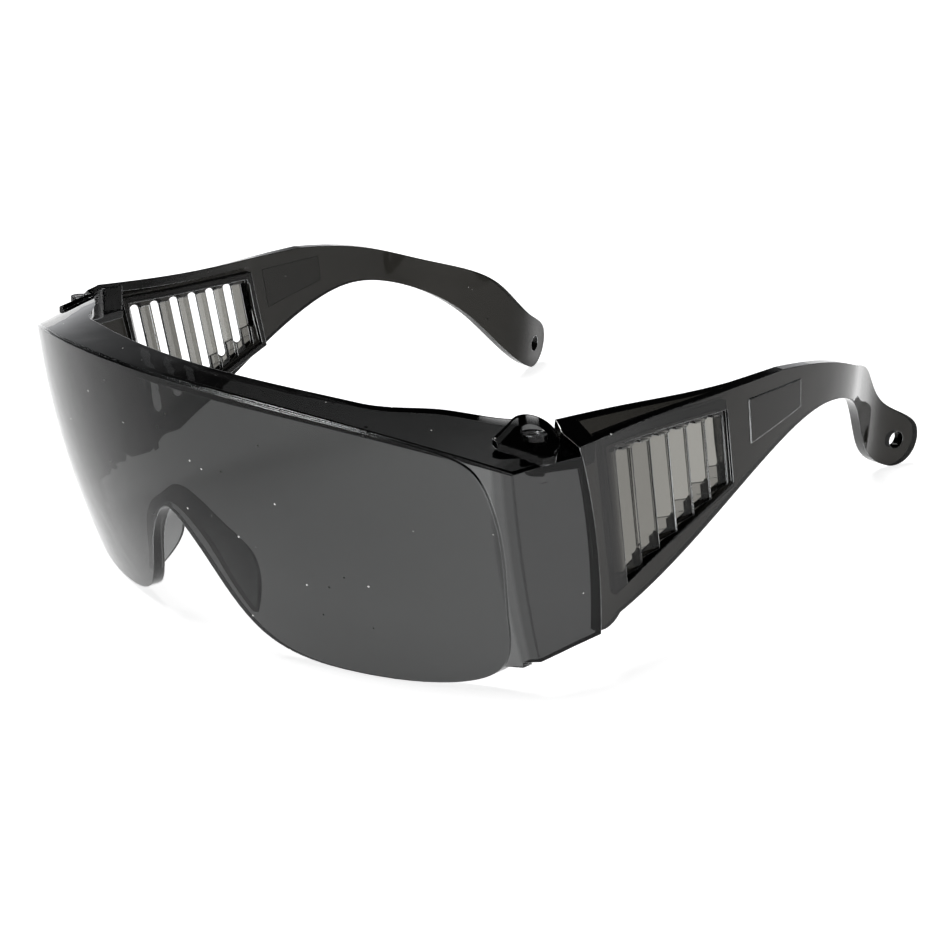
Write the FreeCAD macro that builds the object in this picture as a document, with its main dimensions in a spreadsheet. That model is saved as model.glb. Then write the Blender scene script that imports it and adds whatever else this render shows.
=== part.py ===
import FreeCAD, Part
import math
import os
from FreeCAD import Placement, Rotation, Vector

# Over-the-glass safety spectacles, in millimetres. Every piece is drawn in the hinge frame: X to the
# wearer's left, Y back along the temples, Z up the hinge pins, with the top of the temples at zero.
# The finished pieces are then pitched and lifted together, so that they rest on the lens and the ear tips.

DIMENSIONS = [
    ("wall", 2.2, "thickness of the lens, the ledge and the side wraps"),
    ("lens_front", -33.7, "Y of the middle of the wall behind the lens panel, at its top edge"),
    ("lens_bow", 0.0047, "Y gained per square of X round the lens"),
    ("lens_wrap", 1.37e-7, "Y gained per fourth power of X round the lens"),
    ("lens_lean", 0.105, "Y gained per drop below the top edge"),
    ("lens_belly", 0.0033, "Y gained per square of that drop"),
    ("lens_edge_x", 67.3, "X where the lens meets the side wrap"),
    ("wrap_front_x", 70.5, "X of the front crease in the wrap"),
    ("wrap_middle_x", 73.0, "X of the rear crease in the wrap"),
    ("wrap_rear_x", 75.0, "X of the wrap's outer face at its rear edge"),
    ("rim_top", 1.4, "Z of the top edge of the lens at the middle"),
    ("rim_arch", 0.00088, "Z lost per square of X along that edge"),
    ("rim_droop", 2.16e-7, "Z lost per fourth power of X along that edge"),
    ("lens_proud", 0.8, "how far the lens panel stands out of the wall"),
    ("wrap_bottom", -50.6, "Z of the lower edge of the wraps beside the lens"),
    ("ledge_rear", -20.3, "Y of the rear edge of the ledge at the middle"),
    ("ledge_bow", 0.0028, "Y gained per square of X along that edge"),
    ("lip_width", 3.5, "width of the turned-down lip at the middle"),
    ("lip_end_x", 39.0, "X where the lip runs out"),
    ("lip_angle", 30.0, "slope of the lip"),
    ("hinge_x", 67.5, "X of the pin axis"),
    ("hinge_y", 3.2, "Y of the pin axis"),
    ("corner_radius", 4.9, "radius of the ledge's corner round the pin"),
    ("corner_top", -2.5, "Z of the flat on that corner, at the pin"),
    ("corner_reach", 8.0, "how far the flat runs forwards from the pin"),
    ("boss_bottom", -6.8, "Z of the underside of that corner's block"),
    ("knuckle_radius", 2.7, "radius of the knuckle of the temple"),
    ("knuckle_bottom", -9.0, "Z of the underside of the knuckle"),
    ("hinge_gap", 0.3, "clearance between the moving pieces"),
    ("pin_radius", 1.2, "radius of the pin's shank"),
    ("pin_clearance", 0.05, "radial running clearance in the knuckle"),
    ("pin_float", 0.2, "gap between the knuckle and the pin's foot"),
    ("pin_head_radius", 2.5, "radius of the pin's head"),
    ("pin_head_height", 1.2, "height of the pin's head, from its seat"),
    ("pin_dimple_radius", 1.5, "radius of the dimple in the head"),
    ("pin_foot_radius", 1.9, "radius of the flared foot below the knuckle"),
    ("pin_foot_height", 0.6, "height of that foot"),
    ("temple_wall", 2.4, "thickness of the temple"),
    ("flange_width", 6.9, "width of the top flange at the hinge"),
    ("flange_thick", 2.2, "thickness of the top flange"),
    ("flange_end_y", 60.0, "Y where the flange runs out into the wall"),
    ("vent_count", 6, "number of slats in a temple"),
    ("vent_start_y", 22.7, "Y of the inner front edge of the first slat, at its top"),
    ("vent_top", -8.4, "Z of the top of the first slot"),
    ("vent_rise", 0.2, "height gained by the top from slot to slot"),
    ("vent_pitch", 5.9, "distance from slat to slat"),
    ("vent_lean", 0.27, "Y gained per drop along a slat"),
    ("vent_depth", 26.0, "height of the first slot, without its round ends"),
    ("vent_step", 2.4, "height lost from slot to slot"),
    ("valley_extra", 4.0, "how far the hollows beside the slats run on below the slots"),
    ("vent_recess", 0.6, "depth of the panel round the slats in the outer face"),
    ("vent_frame", 0.5, "height of the frame round the slats on the inner face"),
    ("vent_rib", 1.6, "height of the rib round the vent on the inner face"),
    ("slat_thick", 0.65, "thickness of a slat"),
    ("slat_width", 4.45, "width of a slat along the temple"),
    ("sight_slope", 0.95, "Y gained per X along the clear way between two slats"),
    ("ear_y", 156.1, "Y of the centre of the ear tip"),
    ("ear_z", -35.8, "Z of the centre of the ear tip"),
    ("ear_radius", 6.8, "radius of the ear tip"),
    ("cord_hole_radius", 2.15, "radius of the neck cord's hole"),
    ("rest_pitch", 4.9, "how far the temples slope down to the ear tips at rest"),
]

doc = FreeCAD.newDocument("safety_glasses")
sheet = doc.addObject("Spreadsheet::Sheet", "dimensions")
for row, (alias, value, meaning) in enumerate(DIMENSIONS, start=1):
    sheet.set(f"A{row}", meaning)
    sheet.set(f"B{row}", str(value))
    sheet.setAlias(f"B{row}", alias)
doc.recompute()


def size(alias):
    """A driving dimension, read from the sheet."""
    return float(sheet.get(alias))


# ---------------------------------------------------------------- curves, faces and cutters

def spline(points, first=None, last=None):
    """A smooth edge through the points, with tangents at its ends where they are given."""
    curve = Part.BSplineCurve()
    if first and last:
        curve.interpolate(Points=points, InitialTangent=first, FinalTangent=last)
    else:
        curve.interpolate(Points=points)
    return curve.toShape()


def parabola(start, end, middle):
    """The quadratic arc from start to end that passes through middle half way along."""
    curve = Part.BezierCurve()
    control = middle * 2 - (start + end) * 0.5
    curve.setPoles([start, control, end])
    return curve.toBSpline().toShape()


def segment(start, end):
    return Part.makeLine(start, end)


def prism(edges, travel):
    """The solid swept by the face inside the edges."""
    wire = Part.Wire(Part.__sortEdges__(edges))
    return Part.Face(wire).extrude(travel)


def polygon_prism(points, travel):
    return Part.Face(Part.makePolygon(points + points[:1])).extrude(travel)


def box_between(low, high):
    return Part.makeBox(high[0] - low[0], high[1] - low[1], high[2] - low[2], Vector(*low))


def height_field(height, x_values, y_values, travel):
    """The solid between a surface, given as Z over X and Y, and the same surface moved by travel."""
    grid = [[Vector(x, y, height(x, y)) for y in y_values] for x in x_values]
    surface = Part.BSplineSurface()
    surface.interpolate(grid)
    return surface.toShape().extrude(Vector(0, 0, travel))


def both_sides(shape):
    """A shape on the left, joined by its mirror image on the right."""
    return shape.fuse(shape.mirror(Vector(0, 0, 0), Vector(1, 0, 0)))


# ---------------------------------------------------------------- front shield

def drop_below_rim(z):
    return size("rim_top") - z


def set_back(z):
    """How much further back than its top edge the lens lies at a height."""
    drop = drop_below_rim(z)
    return size("lens_lean") * drop + size("lens_belly") * drop ** 2


def lens_y(x, z):
    """Y of the wall behind the lens panel, which bows back faster towards its ends."""
    return size("lens_front") + size("lens_bow") * x ** 2 + size("lens_wrap") * x ** 4 + set_back(z)


def wrap_rear_y(z):
    """Y of the rear edge of the side wrap."""
    drop = drop_below_rim(z)
    return 5.3 + 0.502 * drop - 0.00447 * drop ** 2


def wrap_corners(z):
    """Plan corners of the left side wrap, from the lens to beyond the rear edge."""
    edge = Vector(size("lens_edge_x"), lens_y(size("lens_edge_x"), z), z)
    rear = Vector(size("wrap_rear_x"), wrap_rear_y(z), z)
    depth = rear.y - edge.y
    front_crease = Vector(size("wrap_front_x"), edge.y + 0.15 * depth, z)
    rear_crease = Vector(size("wrap_middle_x"), edge.y + 0.65 * depth, z)
    beyond = rear + (rear - rear_crease) * 1.4
    return [edge, front_crease, rear_crease, beyond]


def inset_corners(corners, start_direction, inset):
    """The corners moved inwards, so that every stretch between them moves by the inset."""
    directions = [start_direction]
    for here, there in zip(corners, corners[1:]):
        directions.append((there - here).normalize())
    directions.append(directions[-1])
    moved = []
    for corner, before, after in zip(corners, directions, directions[1:]):
        normal_before = Vector(-before.y, before.x, 0)
        normal_after = Vector(-after.y, after.x, 0)
        mitre = (normal_before + normal_after) / (1 + normal_before.dot(normal_after))
        moved.append(corner + mitre * inset)
    return moved


def shield_section(z, inset, back):
    """Plan outline of the shield at a height, inset from its outer face and closed at the back."""
    end = size("lens_edge_x")
    slope = 2 * size("lens_bow") * end + 4 * size("lens_wrap") * end ** 3
    corners = inset_corners(wrap_corners(z), Vector(1, slope, 0).normalize(), inset)
    left = corners + [Vector(corners[-1].x, back, z)]
    right = [Vector(-p.x, p.y, p.z) for p in left]
    share = (left[0].y - lens_y(0, z) - inset) / (lens_y(end, z) - lens_y(0, z))
    bow = [Vector(left[0].x * part, 0, z) for part in (0, 0.25, 0.5, 0.75, 0.9)]
    bow = [Vector(p.x, lens_y(0, z) + inset + share * (lens_y(p.x * end / left[0].x, z) - lens_y(0, z)), z)
           for p in bow] + [left[0]]
    edges = [spline([Vector(-p.x, p.y, z) for p in reversed(bow[1:])] + bow)]
    edges += [segment(a, b) for a, b in zip(left, left[1:])]
    edges.append(segment(left[-1], right[-1]))
    edges += [segment(a, b) for a, b in zip(reversed(right), list(reversed(right))[1:])]
    return Part.Wire(edges)


def shield_loft(inset, back):
    """The space inside the lens and wraps, at an inset from their outer faces."""
    heights = [8, -4, -16, -28, -40, -52, -64]
    return Part.makeLoft([shield_section(z, inset, back) for z in heights], True, False)


def ledge_z(x, y):
    """Height of the ledge, arched across the brow and rising to the rear, most of all at its ends."""
    rim = size("rim_top") - size("rim_arch") * x ** 2 - size("rim_droop") * x ** 4
    rise = 0.035 + 0.00006 * x ** 2
    return rim + rise * (y - lens_y(x, size("rim_top")))


def lip_crest_y(x):
    """Y of the crest where the ledge turns down into its lip."""
    crest = size("ledge_rear") - size("lip_width")
    rear_at_end = size("ledge_rear") + size("ledge_bow") * size("lip_end_x") ** 2
    return crest + (rear_at_end - crest) * (x / size("lip_end_x")) ** 2


def lip_z(x, y):
    crest = lip_crest_y(x)
    return ledge_z(x, crest) - math.tan(math.radians(size("lip_angle"))) * (y - crest)


def above_ledge(lower_by):
    """Everything above the ledge and its lip, or above a surface that far below them."""
    across = [-84, -72, -60, -40, -20, 0, 20, 40, 60, 72, 84]
    ledge = height_field(ledge_z, across, [-50, -30, -10, 10, 50], 40)
    end = size("lip_end_x")
    lip_across = [end * step / 4 for step in range(-4, 5)]
    lip = height_field(lip_z, lip_across, [-50, -36, -24, -12], 40)
    shape = ledge.fuse(lip)
    shape.translate(Vector(0, 0, -lower_by))
    return shape


def front_outline():
    """Prism through the outline of the lens panel as seen from the front, nose notch included."""
    half = [(57.5, -3.9), (64.2, -7.0), (67.1, -14.0), (68.0, -25.6), (67.2, -38.2), (63.8, -51.4),
            (52.3, -56.2), (37.9, -57.1), (17.9, -52.7), (9.5, -39.7), (4.4, -31.3)]
    points = half + [(0, -27.9)] + [(-x, z) for x, z in reversed(half)]
    along = [Vector(x, -60, z) for x, z in points]
    slope = 2 * size("rim_arch") * half[0][0] + 4 * size("rim_droop") * half[0][0] ** 3
    border = spline(along, Vector(1, 0, -slope), Vector(1, 0, slope))
    top_half = [(50, -2.3), (40, -0.9), (20, 0.6), (0, 1.0)]
    top_points = [along[0]] + [Vector(x, -60, z) for x, z in top_half]
    top_points += [Vector(-p.x, -60, p.z) for p in reversed(top_points[:-1])]
    top = spline(top_points, Vector(-1, 0, slope), Vector(-1, 0, -slope))
    return prism([border, top], Vector(0, 90, 0))


def ledge_opening():
    """Prism that opens the top behind the ledge, round the head and round the hinge bosses."""
    end = size("lip_end_x")
    low = -12
    pin = Vector(size("hinge_x"), size("hinge_y"), low)
    radius = size("corner_radius")

    def on_boss(degrees):
        angle = math.radians(degrees)
        return pin + Vector(math.cos(angle), math.sin(angle), 0) * radius

    rear = Vector(end, size("ledge_rear") + size("ledge_bow") * end ** 2, low)
    sweep = spline([rear, Vector(51.2, -5.9, low), on_boss(170)], Vector(1, 0.35, 0), Vector(0.55, 0.83, 0))
    boss = Part.Arc(on_boss(170), on_boss(110), on_boss(52)).toShape()
    out = segment(on_boss(52), Vector(on_boss(52).x, 60, low))
    left = [sweep, boss, out]
    right = [edge.mirror(Vector(0, 0, 0), Vector(1, 0, 0)) for edge in left]
    far = Vector(on_boss(52).x, 60, low)
    back = segment(far, Vector(-far.x, 60, low))
    front = parabola(Vector(-end, rear.y, low), rear, Vector(0, size("ledge_rear"), low))
    return prism([front, back] + left + right, Vector(0, 0, 40))


def wrap_rear_cut():
    """Everything behind the rear edge of the left wrap, on the outer side of the hinge boss."""
    angle = math.radians(52)
    inner_x = size("hinge_x") + size("corner_radius") * math.cos(angle)
    heights = [10, -10, -30, -50, -70]
    edge = spline([Vector(inner_x, wrap_rear_y(z), z) for z in heights])
    top = Vector(inner_x, wrap_rear_y(10), 10)
    bottom = Vector(inner_x, wrap_rear_y(-70), -70)
    corners = [top, Vector(inner_x, 70, 10), Vector(inner_x, 70, -70), bottom]
    sides = [segment(a, b) for a, b in zip(corners, corners[1:])]
    return prism([edge] + sides, Vector(30, 0, 0))


def lower_cut(outline):
    """Everything below the lens, inside the nose notch and below the wraps."""
    bottom = size("wrap_bottom")
    slope = 0.3
    below = box_between((-95, -60, -75), (95, 70, bottom))
    nose = box_between((-25, -60, -75), (25, 70, -12))
    edge_x = size("lens_edge_x")
    wrap = [Vector(edge_x, -12, bottom - 0.1), Vector(edge_x, 0, bottom),
            Vector(edge_x, 24, bottom + slope * 24), Vector(edge_x, 24, -75), Vector(edge_x, -12, -75)]
    wraps = both_sides(polygon_prism(wrap, Vector(30, 0, 0)))
    return below.fuse(nose).cut(outline).fuse(wraps)


def hinge_block(low, high, radius, reach, taper):
    """Block round the left pin, running forwards beside the wrap and narrowing by the taper."""
    pin = Vector(size("hinge_x"), size("hinge_y"), low)
    round_end = Part.makeCylinder(radius, high - low, pin)
    nose = [Vector(pin.x - radius, pin.y, low), Vector(pin.x - radius + taper, pin.y - reach, low),
            Vector(80, pin.y - reach, low), Vector(80, pin.y, low)]
    return round_end.fuse(polygon_prism(nose, Vector(0, 0, high - low)))


def flat_corner():
    """Block that the pin passes through, with a flat top that tilts out and forwards."""
    shape = hinge_block(size("boss_bottom"), 12, size("corner_radius"), size("corner_reach"), 1.5)
    pin = Vector(size("hinge_x"), size("hinge_y"), size("corner_top"))
    out_slope, back_slope, far = -0.48, 0.2, 40

    def on_flat(x_step, y_step):
        return pin + Vector(x_step, y_step, out_slope * x_step + back_slope * y_step)

    corners = [on_flat(-far, -far), on_flat(-far, far), on_flat(far, far), on_flat(far, -far)]
    chamfer = [Vector(pin.x - 9.5, -10.4, -20), Vector(pin.x + 12.5, 6.3, -20), Vector(pin.x + 12.5, -20, -20),
               Vector(pin.x - 9.5, -20, -20)]
    return shape.cut(polygon_prism(corners, Vector(0, 0, far))).cut(polygon_prism(chamfer, Vector(0, 0, far)))


def shoulder_bevel():
    """Wedge that bevels the outer top edge of the left corner block."""
    inner, outer, level = 67.8, 76.0, -5.6
    section = [Vector(inner, -14, level), Vector(outer, -14, level + inner - outer),
               Vector(outer, -14, 20), Vector(inner, -14, 20)]
    return polygon_prism(section, Vector(8, 30, 2))


def nose_flange():
    """Saddle that runs back from the nose notch and flares towards the face."""
    def notch(y, widen, lift):
        side = [(0, -27.9 + lift), (4.4 + widen, -31.3 + 0.7 * lift), (9.5 + widen, -39.7),
                (13.8 + widen, -48.2), (19 + widen, -56)]
        points = [Vector(-x, y, z) for x, z in reversed(side)] + [Vector(x, y, z) for x, z in side[1:]]
        curve = spline(points)
        return Part.Wire([curve, segment(points[-1], points[0])])

    thick = 1.6
    flare, front_lift, rear_lift = 2.2, -4.1, 10.2
    outside = Part.makeLoft([notch(-36, thick, thick + front_lift),
                             notch(-10, thick + flare, thick + rear_lift)], True, True)
    inside = Part.makeLoft([notch(-36, 0, front_lift), notch(-10, flare, rear_lift)], True, True)
    rear = [(-24.5, -17.0), (-23.4, -24.0), (-19.4, -31.0), (-14.2, -39.0), (-15.2, -44.5), (-19.4, -49.5)]
    rear_edge = spline([Vector(-30, y, z) for y, z in rear])
    front = [(-19.4, -49.5), (-31.5, -20.0), (-32.5, -17.0), (-24.5, -17.0)]
    front_edges = [segment(Vector(-30, a[0], a[1]), Vector(-30, b[0], b[1])) for a, b in zip(front, front[1:])]
    reach = prism([rear_edge] + front_edges, Vector(60, 0, 0))
    return outside.cut(inside).common(reach)


def make_front_shield():
    """Lens, brow ledge, side wraps, nose saddle and hinge bosses, moulded as one piece."""
    wall = size("wall")
    outline = front_outline()
    body = shield_loft(0, 30)
    panel = body.copy()
    panel.translate(Vector(0, -size("lens_proud"), 0))
    hollow = shield_loft(wall, 45).cut(above_ledge(wall))
    shape = body.cut(above_ledge(0))
    shape = shape.fuse(panel.common(outline).cut(above_ledge(0)))
    shape = shape.cut(hollow).fuse(both_sides(flat_corner()).common(body))
    shape = shape.cut(ledge_opening()).cut(both_sides(wrap_rear_cut()))
    shape = shape.cut(both_sides(shoulder_bevel()))
    shape = shape.cut(lower_cut(outline)).fuse(nose_flange().common(body))
    left_half = shape.common(box_between((0, -60, -75), (95, 70, 20)))
    return both_sides(left_half).removeSplitter()


# ---------------------------------------------------------------- temples

TEMPLE_FACE = [(-10, 75.4), (5, 74.7), (30, 73.3), (60, 74.3), (85, 74.3), (100, 73.2), (115, 69.6),
               (127, 64.6), (137, 60.8), (144, 58.8), (149, 58.4), (156.1, 59.9), (168, 62.8)]


def face_curve(inset, z):
    """The bowed outer face of the left temple in plan, moved inwards by an inset."""
    return spline([Vector(x - inset, y, z) for y, x in TEMPLE_FACE])


def face_x(y):
    """X of the outer face of the left temple."""
    curve = face_curve(0, 0).Curve
    return curve.value(curve.parameter(Vector(74, y, 0))).x


def flange_width(y):
    """Width of the top of the temple, which narrows to the wall."""
    run = min(max(y / size("flange_end_y"), 0), 1)
    return size("flange_width") + (size("temple_wall") - size("flange_width")) * run


def plan_band(outer, inner, low, high):
    """Upright slab between two curves of the temple in plan."""
    ends = outer.Vertexes[0].Point, outer.Vertexes[-1].Point
    inner_ends = inner.Vertexes[0].Point, inner.Vertexes[-1].Point
    edges = [outer, inner, segment(ends[0], inner_ends[0]), segment(ends[1], inner_ends[1])]
    return prism(edges, Vector(0, 0, high - low))


def wall_band(outer_inset, inner_inset):
    low, high = -60, 20
    return plan_band(face_curve(outer_inset, low), face_curve(inner_inset, low), low, high)


def side_prism(points, low=40, high=95):
    """Prism along X through a straight-sided outline given as Y and Z."""
    return polygon_prism([Vector(low, y, z) for y, z in points], Vector(high - low, 0, 0))


def temple_outline():
    """Prism along X through the side view of the temple, from the hinge to the ear tip."""
    x = 40
    centre = Vector(x, size("ear_y"), size("ear_z"))

    def on_tip(degrees):
        angle = math.radians(degrees)
        return centre + Vector(0, math.cos(angle), math.sin(angle)) * size("ear_radius")

    gap = size("hinge_gap")
    front_heights = [0, -12, -24, -36, -44.6]
    front = [Vector(x, wrap_rear_y(z) + gap, z) for z in front_heights]
    upper = [(45, -0.4), (85, -1.4), (101.4, -3.8), (119.2, -8.6), (137.9, -15.2), (152.0, -26.5)]
    top_points = [front[0]] + [Vector(x, y, z) for y, z in upper] + [on_tip(25)]
    lower = [(148.1, -39.6), (129.2, -23.4), (111.9, -14.6), (94.8, -12.4), (78, -17.4), (57, -28.9)]
    bottom_points = [on_tip(255)] + [Vector(x, y, z) for y, z in lower] + [Vector(x, 27, -43.0)]
    corner = [bottom_points[-1], Vector(x, 22.0, -45.2), front[-1]]
    edges = [
        spline(front),
        spline(top_points, Vector(0, 1, 0), Vector(0, math.sin(math.radians(25)), -math.cos(math.radians(25)))),
        Part.Arc(on_tip(25), on_tip(-45), on_tip(255)).toShape(),
        spline(bottom_points),
        Part.Arc(*corner).toShape(),
    ]
    return prism(edges, Vector(55, 0, 0))


def flange_top(x, y):
    """Height of the sloping top of the temple, highest along its inner edge."""
    rim = -4.4 + 3.5 * min(max((y - 12) / 63, 0), 1)
    inner = -0.9 * min(max(y / 75, 0), 1) ** 2
    return rim + (inner - rim) * (face_x(y) - x) / size("flange_width")


def above_flange(lower_by, travel):
    across = [60, 70, 80, 90]
    along = [-12, 5, 25, 40, 58, 75, 92]
    shape = height_field(flange_top, across, along, travel)
    shape.translate(Vector(0, 0, -lower_by))
    return shape


def vent_front(index, z):
    """Y of the inner front edge of a slat at a height."""
    top = size("vent_top") + size("vent_rise") * index
    return size("vent_start_y") + size("vent_pitch") * index + size("vent_lean") * (top - z)


def slot_prism(index, plan, extra=0):
    """Prism that leans with the slats, through a plan outline given as Y from the slat and depth.

    The depth counts outwards from the inner frame's face. The extra carries the prism on downwards."""
    top = size("vent_top") + size("vent_rise") * index
    depth = size("vent_depth") - size("vent_step") * index + extra
    low = top - depth
    front = vent_front(index, low)
    inner_x = face_x(vent_front(index, top)) - size("temple_wall") - size("vent_frame")
    points = [Vector(inner_x + out, front + along, low) for along, out in plan]
    return polygon_prism(points, Vector(0, -size("vent_lean") * depth, depth))


def slot_ends(index, centre):
    """Round ends of a slot, bored along the clear way between two slats."""
    reach = 12
    half = (size("vent_pitch") - size("slat_width") + size("sight_slope") * slat_step()) / 2
    radius = half / math.hypot(1, size("sight_slope"))
    direction = Vector(1, size("sight_slope"), 0)
    top = size("vent_top") + size("vent_rise") * index
    inner_x = face_x(vent_front(index, top)) - size("temple_wall") - size("vent_frame")
    bores = []
    for z in (top, top - size("vent_depth") + size("vent_step") * index):
        middle = Vector(inner_x, vent_front(index, z) + centre, z)
        start = middle - direction * (reach / 4)
        bores.append(Part.makeCylinder(radius, reach, start, direction))
    return bores


def slat_step():
    """Depth from the outer face of a slat's front edge to the inner face of its rear edge."""
    depth = size("temple_wall") + size("vent_frame") - size("vent_recess")
    return depth - 2 * size("slat_thick")


def vent_slots():
    """Slots between the slats: each slat slants from the inner face at its front to the outer at its rear."""
    pitch, width, thick = size("vent_pitch"), size("slat_width"), size("slat_thick")
    deep = size("temple_wall") + size("vent_frame") - size("vent_recess")
    past = 1.5
    open_air = deep + 0.8
    slope = size("sight_slope")
    clear = pitch - width + slope * slat_step()
    front = -slope * thick - clear
    slots = []
    for index in range(int(size("vent_count"))):
        rise = (deep - thick) / width
        under = [(-pitch - rise, -past), (-pitch, 0), (width - pitch, deep - thick), (width - pitch, open_air)]
        if index == 0:
            under = [(front - slope * past, -past), (front + slope * open_air, open_air)]
        plan = under + [(width, open_air), (width, deep), (0, thick), (0, -past)]
        slots.append(slot_prism(index, plan))
        slots += slot_ends(index, -slope * thick - clear / 2)
    last = int(size("vent_count"))
    slots.append(slot_prism(last, [(-pitch, -past), (-pitch, 0), (width - pitch, deep - thick), (-thick, 0),
                                   (-thick, -past)]))
    return slots


def vent_valleys():
    """Hollows outside and inside the slats, carried on below the slots to the edge of the recess."""
    pitch, width, thick = size("vent_pitch"), size("slat_width"), size("slat_thick")
    deep = size("temple_wall") + size("vent_frame") - size("vent_recess")
    margin = 0.06
    open_air = deep + 0.7
    plan = [(width - pitch + margin, open_air), (width - pitch + margin, thick + margin),
            (margin, thick + margin), (width - margin, deep + margin), (width - margin, open_air)]
    wedge_rear = width - thick
    wedge_depth = (deep - thick) * wedge_rear / width - margin
    wedge = [(margin, -1.5), (margin, -margin / 2), (wedge_rear, wedge_depth), (wedge_rear, -1.5)]
    valleys = []
    for index in range(int(size("vent_count"))):
        valleys.append(slot_prism(index, plan, size("valley_extra")))
        valleys.append(slot_prism(index, wedge, size("valley_extra")))
    return valleys


def temple_lug():
    """Knuckle below the boss of the shield, and the arm that joins it to the wall."""
    low, high = size("knuckle_bottom"), size("boss_bottom") - size("hinge_gap")
    pin = Vector(size("hinge_x"), size("hinge_y"), low)
    knuckle = Part.makeCylinder(size("knuckle_radius"), high - low, pin)
    arm = [Vector(64.9, 3.4, low), Vector(67.4, 15, low), Vector(73.0, 15, low), Vector(72.2, 10.0, low),
           Vector(70.1, 3.4, low)]
    root = box_between((67.6, 9.9, -7.6), (73.0, 15, -1.5))
    return knuckle.fuse(polygon_prism(arm, Vector(0, 0, high - low))).fuse(root)


def make_temple():
    """Left temple with its flange, louvred vent, hinge lug and ear tip."""
    wall = size("temple_wall")
    outline = temple_outline()
    inner_edge = [Vector(x - flange_width(y), y, -60) for y, x in TEMPLE_FACE]
    flange = plan_band(face_curve(0, -60), spline(inner_edge), -60, 20)
    pocket = above_flange(size("flange_thick"), -70)
    flange = flange.cut(pocket).common(box_between((40, -20, -60), (95, 75, 20)))
    shape = wall_band(0, wall).fuse(flange)
    frame = [(16.8, -5.2), (58.0, -4.4), (64.0, -24.2), (26.5, -39.4)]
    shape = shape.fuse(wall_band(wall - 0.2, wall + size("vent_frame")).common(side_prism(frame)))
    rib_inner = side_prism([(18.7, -6.7), (56.6, -6.1), (62.4, -23.3), (27.8, -37.4)])
    rib = wall_band(wall - 0.1, wall + size("vent_rib")).common(side_prism(frame).cut(rib_inner))
    shape = shape.fuse(rib)
    shape = shape.common(outline).fuse(temple_lug()).cut(above_flange(0, 30))
    recess = side_prism([(20.4, -6.8), (57.4, -6.2), (62.0, -22.8), (28.8, -37.2)])
    shape = shape.cut(wall_band(-3, size("vent_recess")).common(recess))
    shape = shape.cut(vent_slots()).cut([valley.common(recess) for valley in vent_valleys()])
    label = [(64.5, -5.2), (84, -4.2), (85.2, -10.6), (67.0, -15.2)]
    shape = shape.fuse(wall_band(-0.25, 0.3).common(side_prism(label)))
    corner = Vector(size("hinge_x"), size("hinge_y"), size("boss_bottom") - size("hinge_gap"))
    clearance = Part.makeCylinder(size("corner_radius") + size("hinge_gap"), 20, corner)
    return shape.cut(clearance).removeSplitter()


# ---------------------------------------------------------------- document

def moulding(name, shape):
    """A free-form moulding, before its round holes are bored."""
    part = doc.addObject("Part::Feature", name)
    part.Shape = shape
    return part


def cylinder(name, radius, height, base, side=1, turned=False):
    """Cylinder up the pins, or along X where turned, with its sizes and its base bound to the sheet."""
    part = doc.addObject("Part::Cylinder", name)
    part.setExpression("Radius", radius)
    part.setExpression("Height", height)
    if turned:
        part.Placement = Placement(Vector(), Rotation(Vector(0, 1, 0), 90))
    part.setExpression("Placement.Base.x", f"{side} * ({base[0]})")
    part.setExpression("Placement.Base.y", base[1])
    part.setExpression("Placement.Base.z", base[2])
    return part


def joined(name, parts):
    fused = doc.addObject("Part::MultiFuse", name)
    fused.Shapes = parts
    return fused


def bored(name, base, tool):
    """A piece less its bores."""
    piece = doc.addObject("Part::Cut", name)
    piece.Base = base
    piece.Tool = tool
    return piece


def pin_bore(name, radius, side=1):
    """Upright bore on a pin's axis, through everything round the hinge."""
    return cylinder(name, radius, "30", (PIN_X, PIN_Y, "-20"), side)


def hinge_pin(name, side):
    """Pin with a dimpled head in the corner block and a flared foot below the temple's knuckle."""
    foot_top = "dimensions.knuckle_bottom - dimensions.pin_float"
    shank = cylinder(name + "_shank", "dimensions.pin_radius", f"{HEAD_SEAT} - ({foot_top})",
                     (PIN_X, PIN_Y, foot_top), side)
    head = cylinder(name + "_head", "dimensions.pin_head_radius", "dimensions.pin_head_height",
                    (PIN_X, PIN_Y, HEAD_SEAT), side)
    foot = cylinder(name + "_foot", "dimensions.pin_foot_radius", "dimensions.pin_foot_height",
                    (PIN_X, PIN_Y, foot_top + " - dimensions.pin_foot_height"), side)
    dimple = cylinder(name + "_dimple", "dimensions.pin_dimple_radius", "2",
                      (PIN_X, PIN_Y, HEAD_SEAT + " + dimensions.pin_head_height - 0.4"), side)
    return bored(name, joined(name + "_blank", [shank, head, foot]), dimple)


PIN_X = "dimensions.hinge_x"
PIN_Y = "dimensions.hinge_y"
HEAD_SEAT = "dimensions.corner_top - 0.9"

shield_bores = []
for side, word in ((1, "left"), (-1, "right")):
    shield_bores.append(pin_bore("shield_bore_" + word, "dimensions.pin_radius", side))
    shield_bores.append(cylinder("head_seat_" + word, "dimensions.pin_head_radius", "20",
                                 (PIN_X, PIN_Y, HEAD_SEAT), side))
    shield_bores.append(cylinder("knuckle_room_" + word, "dimensions.knuckle_radius + dimensions.hinge_gap",
                                 "4", (PIN_X, PIN_Y, "dimensions.boss_bottom - 4"), side))
front_shield = bored("front_shield", moulding("shield_moulding", make_front_shield()),
                     joined("shield_bores", shield_bores))

knuckle_bore = pin_bore("knuckle_bore", "dimensions.pin_radius + dimensions.pin_clearance")
cord_hole = cylinder("cord_hole", "dimensions.cord_hole_radius", "55",
                     ("40", "dimensions.ear_y", "dimensions.ear_z"), turned=True)
temple_left = bored("temple_left", moulding("temple_moulding", make_temple()),
                    joined("temple_bores", [knuckle_bore, cord_hole]))
doc.recompute()
temple_right = moulding("temple_right", temple_left.Shape.mirror(Vector(0, 0, 0), Vector(1, 0, 0)))

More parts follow.
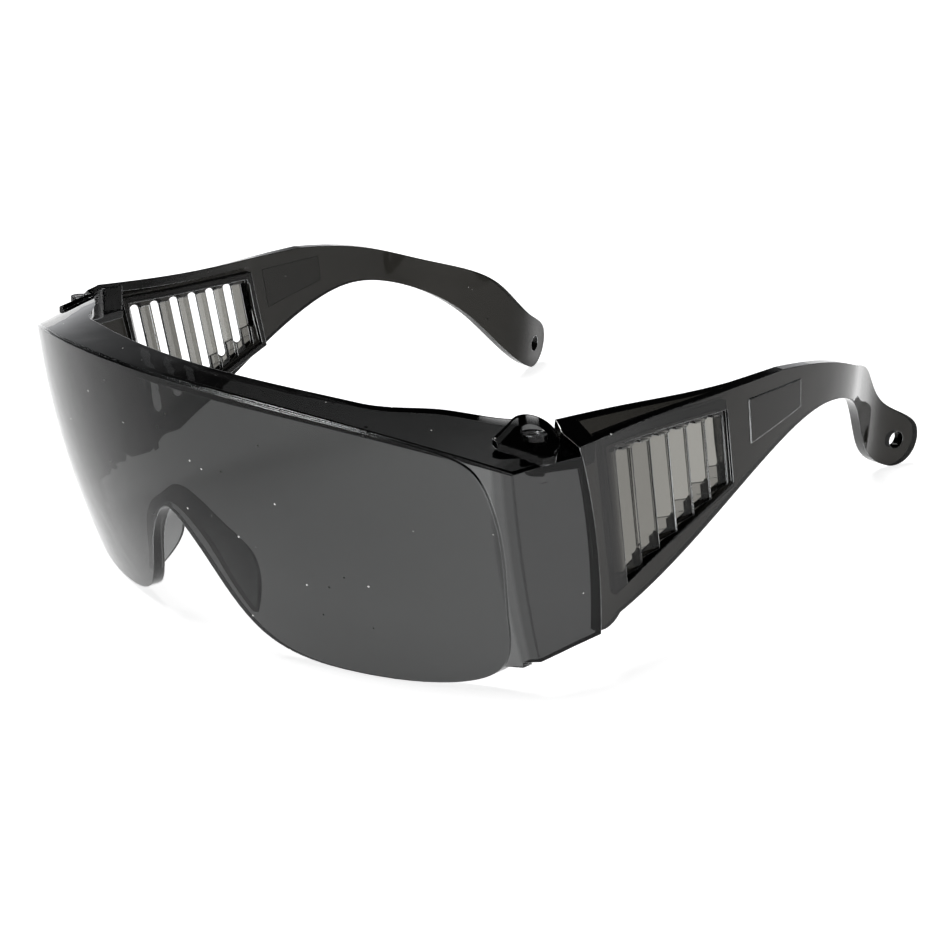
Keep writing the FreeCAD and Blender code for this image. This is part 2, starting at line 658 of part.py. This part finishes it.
pins = [hinge_pin("hinge_pin_left", 1), hinge_pin("hinge_pin_right", -1)]
pieces = [front_shield, temple_left, temple_right] + pins
doc.recompute()

tilt = Rotation(Vector(1, 0, 0), -size("rest_pitch"))
for piece in pieces:
    piece.Placement = Placement(Vector(0, 0, 0), tilt)
doc.recompute()
resting = Part.makeCompound([piece.Shape for piece in pieces]).optimalBoundingBox(False)
lift = Vector(0, -(resting.YMin + resting.YMax) / 2, -resting.ZMin)
for piece in pieces:
    piece.Placement = Placement(lift, tilt)
doc.recompute()

for thing in doc.Objects:
    if "Invalid" in thing.State or "Error" in thing.State:
        raise RuntimeError(f"{thing.Label} did not recompute")
os.makedirs("parts", exist_ok=True)
for piece in pieces:
    if piece.Shape.isNull() or not piece.Shape.isValid() or len(piece.Shape.Solids) != 1:
        raise RuntimeError(f"{piece.Label} is not one valid solid")
    piece.Shape.exportStep(f"parts/{piece.Label}.step")
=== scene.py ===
import math

import bpy
from mathutils import Matrix, Vector

# Looks of the over-the-glass safety spectacles: smoke-tinted clear polycarbonate on a white table.
# The CAD nodes are shown as they are, with softened edges and procedural plastic.

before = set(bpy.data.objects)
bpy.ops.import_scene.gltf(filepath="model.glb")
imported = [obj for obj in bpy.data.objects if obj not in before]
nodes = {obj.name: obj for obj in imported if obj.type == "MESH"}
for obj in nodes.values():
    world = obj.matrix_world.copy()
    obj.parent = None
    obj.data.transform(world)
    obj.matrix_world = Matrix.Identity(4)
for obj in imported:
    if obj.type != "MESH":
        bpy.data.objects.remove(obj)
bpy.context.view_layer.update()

MM = 0.001

# Plastic
POLYCARBONATE_IOR = 1.585
SMEAR_SCALE = 55                # wipe marks, in features per metre
SMEAR_ROUGHNESS = 2.6           # roughness of a wipe mark against clean plastic
FLOW_SCALE = 38                 # mould flow
GRAIN_SCALE = 1400
GRAIN_SHARE = 0.003             # height of the fine grain beside the mould flow
BUMP_STRENGTH = 0.12
BUMP_HEIGHT = 0.6 * MM

# Light along the rounded edges
BEVEL_SAMPLES = 6
EDGE_FLAT = 0.92                # cosine between rounded and face normals where the gloss starts
EDGE_TURNED = 0.80              # and where it is full
EDGE_PATCH_SCALE = 28
EDGE_COLOUR = (0.95, 0.97, 0.98, 1)
EDGE_ROUGHNESS = 0.22

# Dust
SPECK_COLOUR = (0.8, 0.8, 0.78, 1)
SPECK_CORE = 0.6                # solid middle of a speck, as a share of its radius
FINE_SPECK_SPACING = 3.2 * MM
FINE_SPECK_RADIUS = 0.085       # as a share of the spacing
COARSE_SPECK_SPACING = 9 * MM
COARSE_SPECK_RADIUS = 0.045
COARSE_SPECK_SHARE = 0.8        # coarse specks for each fine one

# Painted shade on the upward-facing ledge, and darker side wraps
LEDGE_SHADE_SLOPE = (0.48, 0.65)      # upright part of the normal where the painted shade begins and is full: lens below, ledge above
WRAP_EDGE = (67.0 * MM, 67.6 * MM)  # distance from the middle plane where the side wraps begin

# Studio
TABLE_HALF_SIZE = 8.0
TABLE_DROP = 0.2 * MM           # keeps the table clear of the lens's lowest edge
TABLE_GREY = 0.93
TABLE_GLOW = 0.85
WALL_GLOW = 1.0
CEILING_GLOW = 0.03
WALL_FADE = (0.02, 0.28)        # height of the view direction from wall to ceiling
CAMERA_DISTANCE = 0.4717


# ---------------------------------------------------------------- node helpers

def new_material(name):
    material = bpy.data.materials.new(name)
    material.use_nodes = True
    material.node_tree.nodes.clear()
    return material, material.node_tree.nodes, material.node_tree.links


def noise(tree_nodes, links, coordinates, scale, detail=2.0, distortion=0.0):
    node = tree_nodes.new("ShaderNodeTexNoise")
    node.inputs["Scale"].default_value = scale
    node.inputs["Detail"].default_value = detail
    node.inputs["Distortion"].default_value = distortion
    links.new(coordinates, node.inputs["Vector"])
    return node.outputs["Fac"]


def ramp(tree_nodes, links, value, low, high, out_low, out_high):
    """value from low..high mapped to out_low..out_high, clamped."""
    node = tree_nodes.new("ShaderNodeMapRange")
    node.inputs["From Min"].default_value = low
    node.inputs["From Max"].default_value = high
    node.inputs["To Min"].default_value = out_low
    node.inputs["To Max"].default_value = out_high
    links.new(value, node.inputs["Value"])
    return node.outputs["Result"]


def specks(tree_nodes, links, coordinates, spacing, share, radius):
    """1 inside a few small round specks, 0 elsewhere. That share of the cells carries a speck."""
    cells = tree_nodes.new("ShaderNodeTexVoronoi")
    cells.inputs["Scale"].default_value = 1 / spacing
    links.new(coordinates, cells.inputs["Vector"])
    near = ramp(tree_nodes, links, cells.outputs["Distance"], radius * SPECK_CORE, radius, 1.0, 0.0)
    split = tree_nodes.new("ShaderNodeSeparateColor")
    links.new(cells.outputs["Color"], split.inputs["Color"])
    chosen = tree_nodes.new("ShaderNodeMath")
    chosen.operation = "LESS_THAN"
    links.new(split.outputs["Red"], chosen.inputs[0])
    chosen.inputs[1].default_value = share
    both = tree_nodes.new("ShaderNodeMath")
    both.operation = "MULTIPLY"
    links.new(near, both.inputs[0])
    links.new(chosen.outputs["Value"], both.inputs[1])
    return both.outputs["Value"]


def absolute(tree_nodes, links, value):
    node = tree_nodes.new("ShaderNodeMath")
    node.operation = "ABSOLUTE"
    links.new(value, node.inputs[0])
    return node.outputs["Value"]


def edge_gloss(tree_nodes, links, rounded, coordinates):
    """1 along the middle of the rounded edges, broken up a little, and 0 on the faces."""
    face = tree_nodes.new("ShaderNodeNewGeometry").outputs["Normal"]
    turn = tree_nodes.new("ShaderNodeVectorMath")
    turn.operation = "DOT_PRODUCT"
    links.new(rounded, turn.inputs[0])
    links.new(face, turn.inputs[1])
    alike = absolute(tree_nodes, links, turn.outputs["Value"])
    line = ramp(tree_nodes, links, alike, EDGE_FLAT, EDGE_TURNED, 0.0, 1.0)
    wander = noise(tree_nodes, links, coordinates, EDGE_PATCH_SCALE)
    patch = ramp(tree_nodes, links, wander, 0.38, 0.6, 0.15, 0.85)
    both = tree_nodes.new("ShaderNodeMath")
    both.operation = "MULTIPLY"
    links.new(line, both.inputs[0])
    links.new(patch, both.inputs[1])
    return both.outputs["Value"]


# ---------------------------------------------------------------- materials

def smoke_polycarbonate(name, skin, tint, density, roughness, dust, shine, edge):
    """Clear glossy plastic that darkens with thickness.

    It has rounded edges, mould flow, wipe marks and dust.
    """
    material, tree_nodes, links = new_material(name)
    output = tree_nodes.new("ShaderNodeOutputMaterial")
    plastic = tree_nodes.new("ShaderNodeBsdfPrincipled")
    plastic.inputs["Base Color"].default_value = (*skin, 1)
    plastic.inputs["Specular Tint"].default_value = (shine, shine, shine, 1)
    plastic.inputs["Transmission Weight"].default_value = 1.0
    plastic.inputs["IOR"].default_value = POLYCARBONATE_IOR
    place = tree_nodes.new("ShaderNodeTexCoord").outputs["Object"]

    smear = noise(tree_nodes, links, place, SMEAR_SCALE, detail=5, distortion=1.2)
    links.new(ramp(tree_nodes, links, smear, 0.35, 0.75, roughness, roughness * SMEAR_ROUGHNESS),
              plastic.inputs["Roughness"])

    flow = noise(tree_nodes, links, place, FLOW_SCALE, distortion=0.6)
    grain = noise(tree_nodes, links, place, GRAIN_SCALE, detail=1)
    height = tree_nodes.new("ShaderNodeMath")
    height.operation = "MULTIPLY_ADD"
    links.new(grain, height.inputs[0])
    height.inputs[1].default_value = GRAIN_SHARE
    links.new(flow, height.inputs[2])
    rounded = tree_nodes.new("ShaderNodeBevel")
    rounded.samples = BEVEL_SAMPLES
    rounded.inputs["Radius"].default_value = edge
    bump = tree_nodes.new("ShaderNodeBump")
    links.new(rounded.outputs["Normal"], bump.inputs["Normal"])
    bump.inputs["Strength"].default_value = BUMP_STRENGTH
    bump.inputs["Distance"].default_value = BUMP_HEIGHT
    links.new(height.outputs["Value"], bump.inputs["Height"])
    links.new(bump.outputs["Normal"], plastic.inputs["Normal"])

    polish = tree_nodes.new("ShaderNodeBsdfAnisotropic")
    polish.inputs["Color"].default_value = EDGE_COLOUR
    polish.inputs["Roughness"].default_value = EDGE_ROUGHNESS
    links.new(rounded.outputs["Normal"], polish.inputs["Normal"])
    edged = tree_nodes.new("ShaderNodeMixShader")
    links.new(edge_gloss(tree_nodes, links, rounded.outputs["Normal"], place), edged.inputs["Fac"])
    links.new(plastic.outputs["BSDF"], edged.inputs[1])
    links.new(polish.outputs["BSDF"], edged.inputs[2])

    speck_bsdf = tree_nodes.new("ShaderNodeBsdfDiffuse")
    speck_bsdf.inputs["Color"].default_value = SPECK_COLOUR
    fine = specks(tree_nodes, links, place, FINE_SPECK_SPACING, dust, FINE_SPECK_RADIUS)
    coarse = specks(tree_nodes, links, place, COARSE_SPECK_SPACING, dust * COARSE_SPECK_SHARE,
                    COARSE_SPECK_RADIUS)
    most = tree_nodes.new("ShaderNodeMath")
    most.operation = "MAXIMUM"
    links.new(fine, most.inputs[0])
    links.new(coarse, most.inputs[1])
    mix = tree_nodes.new("ShaderNodeMixShader")
    links.new(most.outputs["Value"], mix.inputs["Fac"])
    links.new(edged.outputs["Shader"], mix.inputs[1])
    links.new(speck_bsdf.outputs["BSDF"], mix.inputs[2])
    links.new(mix.outputs["Shader"], output.inputs["Surface"])

    absorb = tree_nodes.new("ShaderNodeVolumeAbsorption")
    absorb.inputs["Color"].default_value = (*tint, 1)
    absorb.inputs["Density"].default_value = density
    links.new(absorb.outputs["Volume"], output.inputs["Volume"])
    return material


def shade_ledge_and_darken_wraps(material, ledge_painted_shade, wrap_share):
    """Paints shade on the ledge, where its surfaces face up, and darkens the side wraps, so both let less
    light through than the lens.
    """
    tree_nodes, links = material.node_tree.nodes, material.node_tree.links
    split_normal = tree_nodes.new("ShaderNodeSeparateXYZ")
    links.new(tree_nodes.new("ShaderNodeNewGeometry").outputs["Normal"], split_normal.inputs["Vector"])
    # painted shade: the more a surface faces up, the darker its colour
    upright = absolute(tree_nodes, links, split_normal.outputs["Z"])
    ledge = ramp(tree_nodes, links, upright, *LEDGE_SHADE_SLOPE, 1.0, ledge_painted_shade)
    split_place = tree_nodes.new("ShaderNodeSeparateXYZ")
    links.new(tree_nodes.new("ShaderNodeTexCoord").outputs["Object"], split_place.inputs["Vector"])
    across = absolute(tree_nodes, links, split_place.outputs["X"])
    wrap = ramp(tree_nodes, links, across, *WRAP_EDGE, 1.0, wrap_share)
    both = tree_nodes.new("ShaderNodeMath")
    both.operation = "MULTIPLY"
    links.new(ledge, both.inputs[0])
    links.new(wrap, both.inputs[1])
    for shader in tree_nodes:
        if shader.bl_idname == "ShaderNodeBsdfPrincipled":
            links.new(both.outputs["Value"], shader.inputs["Base Color"])


def table_white():
    material, tree_nodes, links = new_material("table_white")
    output = tree_nodes.new("ShaderNodeOutputMaterial")
    surface = tree_nodes.new("ShaderNodeBsdfPrincipled")
    surface.inputs["Base Color"].default_value = (TABLE_GREY, TABLE_GREY, TABLE_GREY, 1)
    surface.inputs["Roughness"].default_value = 0.9
    surface.inputs["Specular IOR Level"].default_value = 0.0
    surface.inputs["Emission Color"].default_value = (1, 1, 1, 1)
    surface.inputs["Emission Strength"].default_value = TABLE_GLOW
    links.new(surface.outputs["BSDF"], output.inputs["Surface"])
    return material


# ---------------------------------------------------------------- the glasses

def dress(node_name, material):
    """Gives a CAD node its plastic."""
    piece = nodes[node_name]
    piece.data.materials.clear()
    piece.data.materials.append(material)


lens_smoke = smoke_polycarbonate(
    "lens_smoke", skin=(1, 1, 1), tint=(0.20, 0.205, 0.205), density=1050,
    roughness=0.012, dust=0.16, shine=0.4, edge=0.3 * MM)
temple_smoke = smoke_polycarbonate(
    "temple_smoke", skin=(0.44, 0.435, 0.41), tint=(0.20, 0.19, 0.175), density=1420,
    roughness=0.02, dust=0.04, shine=0.25, edge=0.35 * MM)
# painted shade on the ledge, and darker side wraps
shade_ledge_and_darken_wraps(lens_smoke, ledge_painted_shade=0.25, wrap_share=0.5)
pin_smoke = smoke_polycarbonate(
    "pin_smoke", skin=(1, 1, 1), tint=(0.2, 0.2, 0.2), density=1600,
    roughness=0.03, dust=0.0, shine=0.5, edge=0.2 * MM)

dress("front_shield", lens_smoke)
for side in ("left", "right"):
    dress("temple_" + side, temple_smoke)
    dress("hinge_pin_" + side, pin_smoke)


# ---------------------------------------------------------------- table, light and camera

def make_table():
    half = TABLE_HALF_SIZE
    mesh = bpy.data.meshes.new("table")
    corners = [(-half, -half, 0), (half, -half, 0), (half, half, 0), (-half, half, 0)]
    mesh.from_pydata(corners, [], [(0, 1, 2, 3)])
    table = bpy.data.objects.new("table", mesh)
    table.location.z = -TABLE_DROP
    table.data.materials.append(table_white())
    bpy.context.scene.collection.objects.link(table)


def direction_from(azimuth, elevation):
    """Unit vector from the object: azimuth in degrees round from the front, elevation above the horizon."""
    around, up = math.radians(azimuth), math.radians(elevation)
    return Vector((math.sin(around) * math.cos(up), -math.cos(around) * math.cos(up), math.sin(up)))


def sun(name, azimuth, elevation, strength, spread):
    """A soft light from so many degrees round the object and above the horizon."""
    light = bpy.data.lights.new(name, "SUN")
    light.energy = strength
    light.angle = math.radians(spread)
    lamp = bpy.data.objects.new(name, light)
    toward = direction_from(azimuth, elevation)
    lamp.rotation_mode = "QUATERNION"
    lamp.rotation_quaternion = toward.to_track_quat("Z", "Y")
    bpy.context.scene.collection.objects.link(lamp)


def make_world():
    """White walls all round, under a dark ceiling."""
    world = bpy.data.worlds.new("studio")
    bpy.context.scene.world = world
    world.use_nodes = True
    tree_nodes, links = world.node_tree.nodes, world.node_tree.links
    background = tree_nodes["Background"]
    background.inputs["Color"].default_value = (0.97, 0.98, 1.0, 1)
    direction = tree_nodes.new("ShaderNodeTexCoord").outputs["Generated"]
    height = tree_nodes.new("ShaderNodeSeparateXYZ")
    links.new(direction, height.inputs["Vector"])
    glow = ramp(tree_nodes, links, height.outputs["Z"], *WALL_FADE, WALL_GLOW, CEILING_GLOW)
    links.new(glow, background.inputs["Strength"])


def make_camera():
    """The photograph's viewpoint, looking down at the front from the wearer's left."""
    back = direction_from(42.2, 22.0)
    roll = math.radians(-0.47)
    target = Vector((0, -0.0063, 0.0111))
    data = bpy.data.cameras.new("camera")
    data.lens = 76.4
    data.sensor_width = 36
    data.shift_x = 0.0176
    data.shift_y = 0.0015
    data.clip_start = 0.01
    data.clip_end = 50
    camera = bpy.data.objects.new("camera", data)
    rotation = back.to_track_quat("Z", "Y").to_matrix().to_4x4() @ Matrix.Rotation(roll, 4, "Z")
    camera.matrix_world = Matrix.Translation(target + back * CAMERA_DISTANCE) @ rotation
    bpy.context.scene.collection.objects.link(camera)
    bpy.context.scene.camera = camera


make_table()
sun("key_light", azimuth=300, elevation=72, strength=1.6, spread=36)
make_world()
make_camera()
bpy.context.scene.view_settings.view_transform = "Standard"
bpy.context.scene.view_settings.gamma = 0.85
